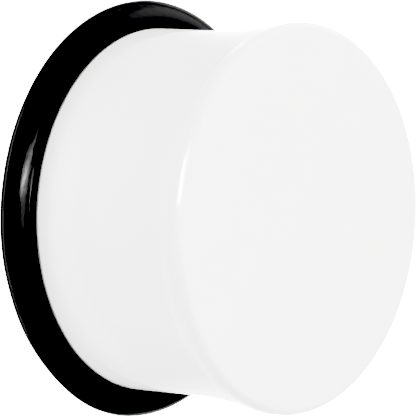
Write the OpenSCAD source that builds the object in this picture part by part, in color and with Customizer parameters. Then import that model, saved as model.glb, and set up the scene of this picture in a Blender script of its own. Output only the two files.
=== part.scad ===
// Single flare ear plug, 22 mm gauge, with the rubber ring that keeps it in the lobe.
// It stands on its back face: +Z runs along the barrel to the blank front face.

/* [Barrel] */
// Diameter of the straight barrel, which is the gauge that the lobe is stretched to
gauge_d = 22; // [14:0.5:40]
// Straight barrel from the middle of the ring groove to the start of the flare
barrel_len = 5.5; // [3:0.1:12]
// Radius on the edge of the back face
back_edge_r = 0.35; // [0.1:0.05:0.6]

/* [Flare] */
// Length over which the barrel curves out to the lip
flare_len = 6; // [4.5:0.1:10]
// How far the lip stands out past the barrel, all round
flare_rise = 0.75; // [0.5:0.05:1]
// Slope of the flare where it runs up to the lip, in degrees from the axis
flare_end_angle = 20; // [16:1:26]
// Radius of the tighter curve at the end of the flare
flare_root_r = 3.3; // [1:0.1:4.5]

/* [Lip] */
// Thickness of the lip, from the end of the flare to the front face
lip_w = 0.85; // [0.6:0.05:2]
// Radius on the back edge of the lip
lip_back_r = 0.6; // [0.2:0.05:0.7]
// Radius on the edge of the front face
front_edge_r = 0.45; // [0.1:0.05:0.55]

/* [Rubber ring] */
// Thickness of the ring's round section
ring_section_d = 2.1; // [1.6:0.1:3]
// Depth of the groove that the ring sits in
groove_depth = 0.5; // [0.3:0.05:0.9]
// Back face to the middle of the groove
groove_setback = 1.75; // [1.4:0.05:4]
// Gap between the ring and the groove
ring_gap = 0.05; // [0.02:0.01:0.1]

/* [Hidden] */
$fn = 180;

barrel_r = gauge_d / 2;
lip_r = barrel_r + flare_rise;

flare_z = groove_setback + barrel_len;
lip_z = flare_z + flare_len;
front_z = lip_z + lip_w;

// The flare is three tangent arcs: a long hollow one, a tighter hollow one and the lip's round back edge.
// Radius and angle of the long arc follow from the other two, the rise and the length.
tight_rise = flare_rise - lip_back_r * (1 - cos(flare_end_angle)) - flare_root_r * (1 - cos(flare_end_angle));
tight_len = flare_len - (flare_root_r + lip_back_r) * sin(flare_end_angle);
long_angle = 2 * atan(tight_rise / tight_len);
long_r = flare_root_r + tight_len / sin(long_angle);

long_centre = [barrel_r + long_r, flare_z];
long_end = long_centre + long_r * [-cos(long_angle), sin(long_angle)];
root_centre = long_end + flare_root_r * [cos(long_angle), -sin(long_angle)];
root_end = root_centre + flare_root_r * [-cos(flare_end_angle), sin(flare_end_angle)];
lip_back_centre = [lip_r - lip_back_r, lip_z];
front_edge_centre = [lip_r - front_edge_r, front_z - front_edge_r];

// The groove is an arc round the ring's own section, wider by the gap
ring_r = ring_section_d / 2;
groove_r = ring_r + ring_gap;
ring_centre = [barrel_r - groove_depth + groove_r, groove_setback];

// A band of the half section, from the axis out to radius r, between two heights
module band(r, z_low, z_high) {
    translate([0, z_low])
        square([r, z_high - z_low]);
}

// A band whose outer side is hollowed by a circle
module hollow_band(r, z_low, z_high, centre, hollow_r) {
    difference() {
        band(r, z_low, z_high);
        translate(centre)
            circle(r = hollow_r, $fn = 720);
    }
}

// A band whose outer side is the round of a circle
module round_band(z_low, z_high, centre, round_r) {
    band(centre[0], z_low, z_high);
    intersection() {
        band(centre[0] + round_r, z_low, z_high);
        translate(centre)
            circle(r = round_r);
    }
}

// Half section of the plug, the axis at the left and the height up the page. Neighbouring bands overlap.
module plug_section() {
    difference() {
        union() {
            round_band(0, 2 * back_edge_r, [barrel_r - back_edge_r, back_edge_r], back_edge_r);
            band(barrel_r, back_edge_r, lip_z);
            hollow_band(lip_r, flare_z, lip_z, long_centre, long_r);
            hollow_band(lip_r, long_end[1], root_end[1], root_centre, flare_root_r);
            round_band(lip_z - lip_back_r, lip_z + lip_w / 2, lip_back_centre, lip_back_r);
            band(lip_r, lip_z, front_edge_centre[1]);
            band(front_edge_centre[0], lip_z, front_z);
            round_band(front_edge_centre[1], front_z, front_edge_centre, front_edge_r);
        }
        translate(ring_centre)
            circle(r = groove_r);
    }
}

module plug_body() {
    color("#F1F1F0")
        rotate_extrude()
            plug_section();
}

module o_ring() {
    color("#111112")
        rotate_extrude()
            translate(ring_centre)
                circle(r = ring_r);
}

plug_body();
o_ring();
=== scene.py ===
import math

import bmesh
import bpy
from mathutils import Matrix, Vector, noise


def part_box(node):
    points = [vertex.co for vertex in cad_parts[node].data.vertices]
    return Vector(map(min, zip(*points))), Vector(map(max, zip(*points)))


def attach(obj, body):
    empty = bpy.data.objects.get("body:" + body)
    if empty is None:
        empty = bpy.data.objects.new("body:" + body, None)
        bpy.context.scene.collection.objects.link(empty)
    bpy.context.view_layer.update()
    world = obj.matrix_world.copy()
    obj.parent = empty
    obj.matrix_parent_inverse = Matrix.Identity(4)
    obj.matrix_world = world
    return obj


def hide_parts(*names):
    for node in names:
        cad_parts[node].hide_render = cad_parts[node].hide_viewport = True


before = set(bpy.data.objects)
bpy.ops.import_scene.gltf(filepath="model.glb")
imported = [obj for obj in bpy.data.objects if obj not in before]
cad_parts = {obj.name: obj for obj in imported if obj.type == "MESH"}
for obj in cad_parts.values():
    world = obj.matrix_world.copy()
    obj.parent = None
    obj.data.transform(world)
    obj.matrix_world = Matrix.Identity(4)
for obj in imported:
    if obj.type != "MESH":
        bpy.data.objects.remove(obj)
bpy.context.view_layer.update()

# Single flare ear plug in white acrylic with its black rubber ring, standing on its back face.
# Sizes of the profile are in millimetres, as the turner reads them, and MM turns them to metres.
MM = 0.001

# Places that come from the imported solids
ring_low, ring_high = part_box("o_ring")
plug_low, plug_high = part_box("plug_body")
RING_SECTION_R = (ring_high.z - ring_low.z) / 2 / MM
RING_HEIGHT = (ring_high.z + ring_low.z) / 2 / MM
RING_CENTRE_R = ring_high.x / MM - RING_SECTION_R
LIP_R = plug_high.x / MM
FRONT_Z = plug_high.z / MM

# Turned profile of the plug
BARREL_R = 11.0
BACK_EDGE_R = 0.35
GROOVE_GAP = 0.05
FLARE_Z = 7.25
FLARE_END_ANGLE = 20.0
FLARE_ROOT_R = 3.3
LIP_W = 0.85
LIP_BACK_R = 0.6
FRONT_EDGE_R = 0.45

# The rubber ring as it came from its mould: a parting line, an uneven section, and two stretches that are a
# little thin, given by how thin, at what angle round the plug and how far each way in degrees
PARTING_HEIGHT = 0.012
PARTING_SPREAD = 0.05
UNEVEN_BY = 0.006
UNEVEN_EVERY = 3.75
THIN_STRETCHES = ((0.082, 324.5, 17.0), (0.030, 299.0, 10.0))

# White acrylic: its two whites, mixed by a soft mottle, and its roughness off the marks and on them
ACRYLIC_WHITES = ("#EEEEED", "#F1F1F0")
ACRYLIC_IOR = 1.49
ACRYLIC_ROUGHNESS = (0.06, 0.11)
MOTTLE_SIZE = 3.0
MOTTLE_DETAIL = 3.0
# The tool and the mop leave marks round the plug. Real ones are a few microns wide; these are drawn wider,
# so that they show. The last line gives the noise levels where a mark begins and where it is full.
MARK_WIDTH = 0.12
MARK_LENGTH = 12.0
MARK_DEPTH = 0.002
MARK_BUMP = 0.2
MARK_FROM, MARK_FULL = 0.3, 0.7

# Black rubber: its two blacks, mixed by its bloom, and its roughness and shine square on and at a slant
RUBBER_BLACKS = ("#050505", "#0B0B0C")
RUBBER_IOR = 1.52
RUBBER_ROUGHNESS = (0.13, 0.3)
RUBBER_SHINE = (0.25, 0.03)
ROUGH_FROM, ROUGH_TO = 0.3, 0.6
DULL_FROM, DULL_TO = 0.35, 0.6
DUST_SHEEN = 0.06
DUST_ROUGHNESS = 0.3
BLOOM_SIZE = 1.5
BLOOM_DETAIL = 4.0
# The mould's steel, polished along its groove, leaves a grain. A real one is 0.03 mm wide; this is drawn
# wider, so that it shows.
GRAIN_WIDTH = 0.11
GRAIN_LENGTH = 0.5
GRAIN_DEPTH = 0.014

# Noise that marks and grain are drawn with
DRAWN_DETAIL = 2.0
DRAWN_ROUGHNESS = 0.6

# Fineness of the meshes
PLUG_SEGMENTS = 288
RING_SEGMENTS = 360
RING_SECTION_SEGMENTS = 96
CAP_R = 2.0
# Steps along the plug's outline, from the back face round to the front face
BACK_FACE_STEPS, BACK_EDGE_STEPS, BACK_RIM_STEPS, GROOVE_STEPS = 10, 14, 2, 28
BARREL_STEPS, FLARE_STEPS, ROOT_STEPS = 18, 26, 12
LIP_BACK_STEPS, LIP_STEPS, FRONT_EDGE_STEPS, FRONT_FACE_STEPS = 10, 2, 28, 12

# Camera: the photograph's angle, round a point in the middle of the rubber ring
VIEW_ELEVATION = 38.246
VIEW_ROLL = 93.872
VIEW_DISTANCE = 433.9
RING_LEFT_OF_AXIS = 4.1156
RING_BELOW_AXIS = 0.0238
LENS = 618.2
SENSOR = 36.0

# The table's half width and how far off the lamp panels stand, in metres
TABLE_HALF = 2.0
PANEL_DISTANCE = 0.5

# Colour of the room's and the table's light, linear
WHITE_LIGHT = (1, 1, 1, 1)

# Light of the room: toward which side of the picture a wall is brightest, in degrees right of the camera
# and up from it, then how bright it is there, and how far it fades out in degrees
WALLS = (
    ((0, 90), 0.31, 180),
    ((-38, 0), 0.86, 45),
    ((130, 0), 1.4, 70),
    ((110, 30), 0.9, 45),
)

# Key light: one big softbox, brighter towards its middle, made of nested panels. Each has its edges to the
# right and up in the picture's degrees, and its light.
KEY_PANELS = (
    ("key_panel_fringe", (0, 60), (-2, 18), 3.9),
    ("key_panel_wide", (7, 50), (1, 14), 2.4),
    ("key_panel_middle", (12, 44), (2, 10.5), 2.8),
    ("key_panel_core", (17, 32), (3, 9), 6.0),
    ("key_panel_right", (46, 62), (0, 8), 3.0),
    ("key_panel_foot", (17, 54), (-14, -2), 3.9),
    ("key_panel_top", (-2, 30), (18, 23), 3.9),
)

# A panel that only the plug's gloss shows, as the light streak along the lip
LIP_PANEL = ((-20, 18), (3, 28), 14)

# Panels that only the ring's gloss shows: the key light's second image by way of the barrel, and the soft
# light along the ring's top
RING_PANELS = (
    ("second_image_panel", (78, 88), (-3.6, -2.2), 16),
    ("top_sheen_panel", (98, 160), (-14, 45), 0.38),
)

# Table: pale, lit from below, and bright enough for the camera to merge with the room's white
TABLE_WHITE = "#BCBCBC"
TABLE_ROUGHNESS = 0.9
TABLE_GLOW = 0.34
SEEN_WHITE = 2.0
# It glows more behind the plug, from one y to another in millimetres
BEHIND_FROM, BEHIND_TO, BEHIND_GLOW = 2.0, 8.0, 0.8
# Its glow changes from one distance to another off a point, in millimetres: x, y, from, to, change
GLOW_CHANGES = (
    (0, 0, 19, 21, 1.0),
    (0, 0, 24, 28, -1.3),
    (0, 0, 36, 46, 0.8),
    (24, -4, 6, 2, 1.0),
    (21, -13, 8, 3, 1.3),
    (-25, 1, 5, 1, 2.0),
)
# Glowing strips on its near side: the radii between which each comes up and goes down, the point that it
# fades away from and the distances where it does, and its glow. The flare's end mirrors the first as a soft
# light line, and the rubber ring's rim mirrors the second.
STRIPS = (
    ((15.0, 15.8), (17.4, 18.0), (5, -15), (10, 20), 1.5),
    ((12.0, 12.9), (13.1, 13.7), (2, -13), (7, 11), 2.0),
)

# Tone of the picture: light that prints as black and as white, and what the light between them prints as
BLACK_POINT = 0.08
WHITE_POINT = 1.8
TONES = ((0.20, 0.30), (0.33, 0.66), (0.45, 0.76), (0.70, 0.80), (1.10, 0.87))


def linear(hex_colour):
    """An sRGB hex colour as a linear RGBA tuple."""
    channels = [int(hex_colour[i:i + 2], 16) / 255 for i in (1, 3, 5)]
    light = [c / 12.92 if c <= 0.04045 else ((c + 0.055) / 1.055) ** 2.4 for c in channels]
    return (*light, 1.0)


def add_node(tree, kind, settings=None, **inputs):
    """Adds a node. settings are its own values; inputs are values or sockets by the input's name or place.

    A place is written with an underline, such as _0, and so is a space in a name.
    """
    made = tree.nodes.new(kind)
    for name, value in (settings or {}).items():
        setattr(made, name, value)
    for name, value in inputs.items():
        key = int(name[1:]) if name[0] == "_" else name.replace("_", " ")
        if isinstance(value, bpy.types.NodeSocket):
            tree.links.new(value, made.inputs[key])
        else:
            made.inputs[key].default_value = value
    return made


# Camera axes in the row's frame: to the right and up in the picture, and back towards the camera
elevation = math.radians(VIEW_ELEVATION)
roll = math.radians(VIEW_ROLL)
TO_CAMERA = Vector((0, -math.cos(elevation), math.sin(elevation)))
level_right = Vector((1, 0, 0))
level_up = Vector((0, math.sin(elevation), math.cos(elevation)))
PICTURE_RIGHT = math.cos(roll) * level_right + math.sin(roll) * level_up
PICTURE_UP = -math.sin(roll) * level_right + math.cos(roll) * level_up


def picture_direction(right_degrees, up_degrees):
    """Direction from the plug, turned right of the camera and up from it as the picture shows them."""
    right, up = math.radians(right_degrees), math.radians(up_degrees)
    level = math.sin(right) * PICTURE_RIGHT + math.cos(right) * TO_CAMERA
    return (math.cos(up) * level + math.sin(up) * PICTURE_UP).normalized()


def add_camera():
    """The camera at the photograph's angle, aimed so that the ring's middle lies left of the picture's."""
    camera = bpy.data.objects.new("camera", bpy.data.cameras.new("camera"))
    bpy.context.scene.collection.objects.link(camera)
    camera.data.lens = LENS
    camera.data.sensor_width = SENSOR
    ring_middle = Vector((0, 0, RING_HEIGHT * MM))
    place = (
        ring_middle
        + PICTURE_RIGHT * RING_LEFT_OF_AXIS * MM
        + PICTURE_UP * RING_BELOW_AXIS * MM
        + TO_CAMERA * VIEW_DISTANCE * MM
    )
    axes = Matrix((PICTURE_RIGHT, PICTURE_UP, TO_CAMERA)).transposed()
    camera.matrix_world = Matrix.Translation(place) @ axes.to_4x4()
    bpy.context.scene.camera = camera


def arc(centre, radius, start, end, steps):
    """Points on an arc in the half section, between two angles in degrees, 0 being away from the axis."""
    points = []
    for i in range(steps + 1):
        angle = math.radians(start + (end - start) * i / steps)
        points.append((centre[0] + radius * math.cos(angle), centre[1] + radius * math.sin(angle)))
    return points


def straight(start, end, steps):
    """Points inside a straight stretch, without its two ends."""
    return [
        (start[0] + (end[0] - start[0]) * i / steps, start[1] + (end[1] - start[1]) * i / steps)
        for i in range(1, steps)
    ]


def plug_profile():
    """Half section of the plug, from the back face's middle part round to the front face's."""
    lip_z = FRONT_Z - LIP_W
    end_angle = math.radians(FLARE_END_ANGLE)
    rise = LIP_R - BARREL_R - (LIP_BACK_R + FLARE_ROOT_R) * (1 - math.cos(end_angle))
    length = lip_z - FLARE_Z - (LIP_BACK_R + FLARE_ROOT_R) * math.sin(end_angle)
    long_angle = 2 * math.atan(rise / length)
    long_r = FLARE_ROOT_R + length / math.sin(long_angle)
    long_centre = (BARREL_R + long_r, FLARE_Z)
    root_centre = (
        long_centre[0] - (long_r - FLARE_ROOT_R) * math.cos(long_angle),
        long_centre[1] + (long_r - FLARE_ROOT_R) * math.sin(long_angle),
    )
    long_turn = math.degrees(long_angle)
    groove_r = RING_SECTION_R + GROOVE_GAP
    groove_turn = math.degrees(math.acos((RING_CENTRE_R - BARREL_R) / groove_r))

    back_edge_centre = (BARREL_R - BACK_EDGE_R, BACK_EDGE_R)
    groove_centre = (RING_CENTRE_R, RING_HEIGHT)
    lip_back_centre = (LIP_R - LIP_BACK_R, lip_z)
    front_edge_centre = (LIP_R - FRONT_EDGE_R, FRONT_Z - FRONT_EDGE_R)
    root_start, root_end = 180 - long_turn, 180 - FLARE_END_ANGLE

    # The arcs in order, each with the steps of the straight stretch before it. An arc that goes on from the
    # last one leaves out their common point and has one step, which adds no point.
    sides = [
        (BACK_FACE_STEPS, arc(back_edge_centre, BACK_EDGE_R, -90, 0, BACK_EDGE_STEPS)),
        (BACK_RIM_STEPS, arc(groove_centre, groove_r, 180 + groove_turn, 180 - groove_turn, GROOVE_STEPS)),
        (BARREL_STEPS, arc(long_centre, long_r, 180, root_start, FLARE_STEPS)),
        (1, arc(root_centre, FLARE_ROOT_R, root_start, root_end, ROOT_STEPS)[1:]),
        (1, arc(lip_back_centre, LIP_BACK_R, -FLARE_END_ANGLE, 0, LIP_BACK_STEPS)[1:]),
        (LIP_STEPS, arc(front_edge_centre, FRONT_EDGE_R, 0, 90, FRONT_EDGE_STEPS)),
    ]
    points = [(CAP_R, 0.0)]
    for steps, side in sides:
        points += straight(points[-1], side[0], steps) + side
    face_end = (CAP_R, FRONT_Z)
    return points + straight(points[-1], face_end, FRONT_FACE_STEPS) + [face_end]


def turned(name, profile, segments):
    """A solid of revolution about Z from its half section, closed by a fan round the middle of each end."""
    mesh = bmesh.new()
    rings = []
    for radius, height in profile:
        ring = []
        for i in range(segments):
            angle = math.tau * i / segments
            place = Vector((radius * math.cos(angle), radius * math.sin(angle), height))
            ring.append(mesh.verts.new(place * MM))
        rings.append(ring)
    for lower, upper in zip(rings, rings[1:]):
        for i in range(segments):
            j = (i + 1) % segments
            mesh.faces.new((lower[i], lower[j], upper[j], upper[i]))
    back = mesh.verts.new((0, 0, profile[0][1] * MM))
    front = mesh.verts.new((0, 0, profile[-1][1] * MM))
    for i in range(segments):
        j = (i + 1) % segments
        mesh.faces.new((back, rings[0][j], rings[0][i]))
        mesh.faces.new((front, rings[-1][i], rings[-1][j]))
    return finished(name, mesh)


def finished(name, mesh):
    """Turns a bmesh to an object with smooth shading."""
    bmesh.ops.recalc_face_normals(mesh, faces=mesh.faces)
    data = bpy.data.meshes.new(name)
    mesh.to_mesh(data)
    mesh.free()
    data.shade_smooth()
    made = bpy.data.objects.new(name, data)
    bpy.context.scene.collection.objects.link(made)
    return made


def rubber_ring():
    """The moulded ring: a round section with the mould's parting line on its outer and inner side."""
    mesh = bmesh.new()
    rings = []
    for i in range(RING_SEGMENTS):
        angle = math.tau * i / RING_SEGMENTS
        out = Vector((math.cos(angle), math.sin(angle), 0))
        thin = sum(
            by * math.exp(-((math.degrees(angle) - at) / spread) ** 2)
            for by, at, spread in THIN_STRETCHES
        )
        ring = []
        for k in range(RING_SECTION_SEGMENTS):
            turn = math.tau * k / RING_SECTION_SEGMENTS
            parting = PARTING_HEIGHT * math.exp(-(math.sin(turn) / PARTING_SPREAD) ** 2)
            where = out * RING_CENTRE_R + Vector((math.cos(turn), 0, math.sin(turn))) * RING_SECTION_R
            uneven = UNEVEN_BY * noise.noise(where / UNEVEN_EVERY)
            reach = RING_SECTION_R - PARTING_HEIGHT - thin + parting + uneven
            place = out * (RING_CENTRE_R - thin + reach * math.cos(turn))
            place.z = RING_HEIGHT + reach * math.sin(turn)
            ring.append(mesh.verts.new(place * MM))
        rings.append(ring)
    for i in range(RING_SEGMENTS):
        near, far = rings[i], rings[(i + 1) % RING_SEGMENTS]
        for k in range(RING_SECTION_SEGMENTS):
            m = (k + 1) % RING_SECTION_SEGMENTS
            mesh.faces.new((near[k], far[k], far[m], near[m]))
    return finished("rubber_ring", mesh)


def marks_round(tree, place, across, along):
    """Noise drawn out round the plug's axis: its marks are as wide and as long as given, in millimetres."""
    level = add_node(tree, "ShaderNodeVectorMath", {"operation": "MULTIPLY"}, _0=place, _1=(1, 1, 0))
    radius = add_node(tree, "ShaderNodeVectorMath", {"operation": "LENGTH"}, _0=level.outputs[0])
    around = add_node(tree, "ShaderNodeVectorMath", {"operation": "NORMALIZE"}, _0=level.outputs[0])
    turned_by = add_node(
        tree, "ShaderNodeVectorMath", {"operation": "SCALE"}, _0=around.outputs[0], Scale=LIP_R / along
    )
    lift = add_node(
        tree, "ShaderNodeVectorMath", {"operation": "MULTIPLY"}, _0=place, _1=(0, 0, 1 / (across * MM))
    )
    drawn = add_node(
        tree, "ShaderNodeVectorMath", {"operation": "ADD"}, _0=turned_by.outputs[0], _1=lift.outputs[0]
    )
    out = add_node(
        tree, "ShaderNodeMath", {"operation": "DIVIDE"}, _0=radius.outputs["Value"], _1=across * MM
    )
    made = add_node(
        tree, "ShaderNodeTexNoise", {"noise_dimensions": "4D"},
        Vector=drawn.outputs[0], W=out.outputs[0],
        Scale=1.0, Detail=DRAWN_DETAIL, Roughness=DRAWN_ROUGHNESS,
    )
    return made.outputs["Fac"]


def acrylic_turned_polished():
    """White cast acrylic, turned and polished: opaque milky white under a clear gloss."""
    material = bpy.data.materials.new("acrylic_turned_polished")
    material.use_nodes = True
    tree = material.node_tree
    tree.nodes.clear()
    place = add_node(tree, "ShaderNodeTexCoord").outputs["Object"]
    marks = marks_round(tree, place, MARK_WIDTH, MARK_LENGTH)
    mottle = add_node(
        tree, "ShaderNodeTexNoise", Vector=place, Scale=1 / (MOTTLE_SIZE * MM), Detail=MOTTLE_DETAIL
    )
    white = add_node(
        tree, "ShaderNodeMix", {"data_type": "RGBA"}, Factor=mottle.outputs["Fac"],
        _6=linear(ACRYLIC_WHITES[0]), _7=linear(ACRYLIC_WHITES[1]),
    )
    # The mop leaves the marks a little rougher, which breaks up the edges of what the gloss mirrors
    gloss = add_node(
        tree, "ShaderNodeMapRange", Value=marks, From_Min=MARK_FROM, From_Max=MARK_FULL,
        To_Min=ACRYLIC_ROUGHNESS[0], To_Max=ACRYLIC_ROUGHNESS[1],
    )
    relief = add_node(tree, "ShaderNodeBump", Strength=MARK_BUMP, Distance=MARK_DEPTH * MM, Height=marks)
    shader = add_node(
        tree, "ShaderNodeBsdfPrincipled",
        Base_Color=white.outputs[2], Roughness=gloss.outputs[0], IOR=ACRYLIC_IOR, Normal=relief.outputs[0],
    )
    add_node(tree, "ShaderNodeOutputMaterial", Surface=shader.outputs[0])
    return material


def rubber_moulded():
    """Black nitrile rubber, moulded: near black, with a satin sheen broken by a fine grain."""
    material = bpy.data.materials.new("rubber_moulded")
    material.use_nodes = True
    tree = material.node_tree
    tree.nodes.clear()
    place = add_node(tree, "ShaderNodeTexCoord").outputs["Object"]
    grain = marks_round(tree, place, GRAIN_WIDTH, GRAIN_LENGTH)
    bloom = add_node(
        tree, "ShaderNodeTexNoise", Vector=place, Scale=1 / (BLOOM_SIZE * MM), Detail=BLOOM_DETAIL
    )
    black = add_node(
        tree, "ShaderNodeMix", {"data_type": "RGBA"}, Factor=bloom.outputs["Fac"],
        _6=linear(RUBBER_BLACKS[0]), _7=linear(RUBBER_BLACKS[1]),
    )
    # The bloom on the rubber hides its gloss at a slant, so the rims of the ring stay dark, with no more
    # than the faint sheen of fine dust
    slant = add_node(tree, "ShaderNodeLayerWeight", Blend=0.5).outputs["Facing"]
    satin = add_node(
        tree, "ShaderNodeMapRange", Value=slant, From_Min=ROUGH_FROM, From_Max=ROUGH_TO,
        To_Min=RUBBER_ROUGHNESS[0], To_Max=RUBBER_ROUGHNESS[1],
    )
    shine = add_node(
        tree, "ShaderNodeMapRange", Value=slant, From_Min=DULL_FROM, From_Max=DULL_TO,
        To_Min=RUBBER_SHINE[0], To_Max=RUBBER_SHINE[1],
    )
    relief = add_node(tree, "ShaderNodeBump", Strength=1.0, Distance=GRAIN_DEPTH * MM, Height=grain)
    shader = add_node(
        tree, "ShaderNodeBsdfPrincipled", Base_Color=black.outputs[2],
        Roughness=satin.outputs[0], IOR=RUBBER_IOR, Specular_IOR_Level=shine.outputs[0],
        Sheen_Weight=DUST_SHEEN, Sheen_Roughness=DUST_ROUGHNESS, Normal=relief.outputs[0],
    )
    add_node(tree, "ShaderNodeOutputMaterial", Surface=shader.outputs[0])
    return material


def softbox(name, right, up, radiance, gloss_of=None):
    """A lamp panel. right and up are its edges in degrees, as seen round the camera's direction.

    It lights everything, or only the gloss of the given piece, and then the others don't stand in its way.
    """
    width = 2 * PANEL_DISTANCE * math.tan(math.radians(right[1] - right[0]) / 2)
    height = 2 * PANEL_DISTANCE * math.tan(math.radians(up[1] - up[0]) / 2)
    lamp = bpy.data.lights.new(name, "AREA")
    lamp.shape = "RECTANGLE"
    lamp.size = width
    lamp.size_y = height
    lamp.energy = radiance * math.pi * width * height
    panel = bpy.data.objects.new(name, lamp)
    bpy.context.scene.collection.objects.link(panel)
    back = picture_direction(sum(right) / 2, sum(up) / 2)
    across = PICTURE_UP.cross(back).normalized()
    axes = Matrix((across, back.cross(across), back)).transposed()
    panel.matrix_world = Matrix.Translation(back * PANEL_DISTANCE) @ axes.to_4x4()
    panel.visible_camera = False
    if gloss_of:
        panel.visible_diffuse = False
        lit = bpy.data.collections.new(f"lit_by_{name}")
        lit.objects.link(gloss_of)
        panel.light_linking.receiver_collection = lit
        panel.light_linking.blocker_collection = lit


def room():
    """The white room round the table: brighter in some directions, and plain white to the camera."""
    world = bpy.data.worlds.new("room")
    bpy.context.scene.world = world
    world.use_nodes = True
    tree = world.node_tree
    tree.nodes.clear()
    way = add_node(tree, "ShaderNodeTexCoord").outputs["Generated"]
    light = 0.0
    for toward, level, spread in WALLS:
        facing = add_node(
            tree, "ShaderNodeVectorMath", {"operation": "DOT_PRODUCT"},
            _0=way, _1=picture_direction(*toward),
        )
        share = add_node(
            tree, "ShaderNodeMapRange", Value=facing.outputs["Value"],
            From_Min=math.cos(math.radians(spread)), From_Max=1.0, To_Min=0.0, To_Max=1.0,
        )
        light = add_node(
            tree, "ShaderNodeMath", {"operation": "MULTIPLY_ADD"}, _0=share.outputs[0], _1=level, _2=light
        ).outputs[0]
    walls_light = add_node(tree, "ShaderNodeBackground", Color=WHITE_LIGHT, Strength=light)
    white = add_node(tree, "ShaderNodeBackground", Color=WHITE_LIGHT, Strength=SEEN_WHITE)
    path = add_node(tree, "ShaderNodeLightPath")
    seen = add_node(
        tree, "ShaderNodeMixShader",
        _0=path.outputs["Is Camera Ray"], _1=walls_light.outputs[0], _2=white.outputs[0],
    )
    add_node(tree, "ShaderNodeOutputWorld", Surface=seen.outputs[0])


def rise_or_fall(tree, place, point, start, end):
    """A smooth share by the distance from a point of the table: 0 at start and 1 at end, in millimetres."""
    off = add_node(
        tree, "ShaderNodeVectorMath", {"operation": "DISTANCE"},
        _0=place, _1=(point[0] * MM, point[1] * MM, 0),
    )
    step = add_node(
        tree, "ShaderNodeMapRange", {"interpolation_type": "SMOOTHSTEP"}, Value=off.outputs["Value"],
        From_Min=min(start, end) * MM, From_Max=max(start, end) * MM,
        To_Min=float(start > end), To_Max=float(start < end),
    )
    return step.outputs[0]


def pale_floor():
    """The white table that the plug stands on."""
    mesh = bmesh.new()
    bmesh.ops.create_grid(mesh, x_segments=8, y_segments=8, size=TABLE_HALF)
    made = finished("pale_floor", mesh)
    material = bpy.data.materials.new("table_matt_white")
    material.use_nodes = True
    tree = material.node_tree
    tree.nodes.clear()
    place = add_node(tree, "ShaderNodeTexCoord").outputs["Object"]
    behind = add_node(tree, "ShaderNodeSeparateXYZ", Vector=place)
    glow = add_node(
        tree, "ShaderNodeMapRange", {"interpolation_type": "SMOOTHSTEP"}, Value=behind.outputs["Y"],
        From_Min=BEHIND_FROM * MM, From_Max=BEHIND_TO * MM,
        To_Min=TABLE_GLOW, To_Max=TABLE_GLOW + BEHIND_GLOW,
    ).outputs[0]
    for x, y, start, end, change in GLOW_CHANGES:
        step = rise_or_fall(tree, place, (x, y), start, end)
        glow = add_node(
            tree, "ShaderNodeMath", {"operation": "MULTIPLY_ADD"}, _0=step, _1=change, _2=glow
        ).outputs[0]
    for up, down, middle, fade, strip_glow in STRIPS:
        strip = strip_glow
        for point, start, end in (((0, 0), *up), ((0, 0), *reversed(down)), (middle, *reversed(fade))):
            step = rise_or_fall(tree, place, point, start, end)
            strip = add_node(
                tree, "ShaderNodeMath", {"operation": "MULTIPLY"}, _0=step, _1=strip
            ).outputs[0]
        glow = add_node(tree, "ShaderNodeMath", {"operation": "ADD"}, _0=strip, _1=glow).outputs[0]
    path = add_node(tree, "ShaderNodeLightPath")
    seen = add_node(
        tree, "ShaderNodeMath", {"operation": "MULTIPLY_ADD"},
        _0=path.outputs["Is Camera Ray"], _1=SEEN_WHITE, _2=glow,
    )
    shader = add_node(
        tree, "ShaderNodeBsdfPrincipled", Base_Color=linear(TABLE_WHITE),
        Roughness=TABLE_ROUGHNESS, Specular_IOR_Level=0.0,
        Emission_Color=WHITE_LIGHT, Emission_Strength=seen.outputs[0],
    )
    add_node(tree, "ShaderNodeOutputMaterial", Surface=shader.outputs[0])
    made.data.materials.append(material)


def picture_tone():
    """The photograph's tone: deep blacks, a steep rise, and whites that stay apart to the white point."""
    view = bpy.context.scene.view_settings
    view.view_transform = "Standard"
    view.use_curve_mapping = True
    tone = view.curve_mapping
    tone.black_level = [BLACK_POINT] * 3
    tone.white_level = [WHITE_POINT] * 3
    all_channels = tone.curves[3]
    for light, print_level in TONES:
        all_channels.points.new((light - BLACK_POINT) / (WHITE_POINT - BLACK_POINT), print_level)
    tone.update()


add_camera()
room()
pale_floor()
picture_tone()

plug = turned("acrylic_plug", plug_profile(), PLUG_SEGMENTS)
plug.data.materials.append(acrylic_turned_polished())
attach(plug, "root")
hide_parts("plug_body")

ring = rubber_ring()
ring.data.materials.append(rubber_moulded())
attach(ring, "root")
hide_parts("o_ring")

for panel_name, right_edges, up_edges, panel_light in KEY_PANELS:
    softbox(panel_name, right_edges, up_edges, panel_light)
softbox("lip_panel", *LIP_PANEL, gloss_of=plug)
for panel_name, right_edges, up_edges, panel_light in RING_PANELS:
    softbox(panel_name, right_edges, up_edges, panel_light, gloss_of=ring)
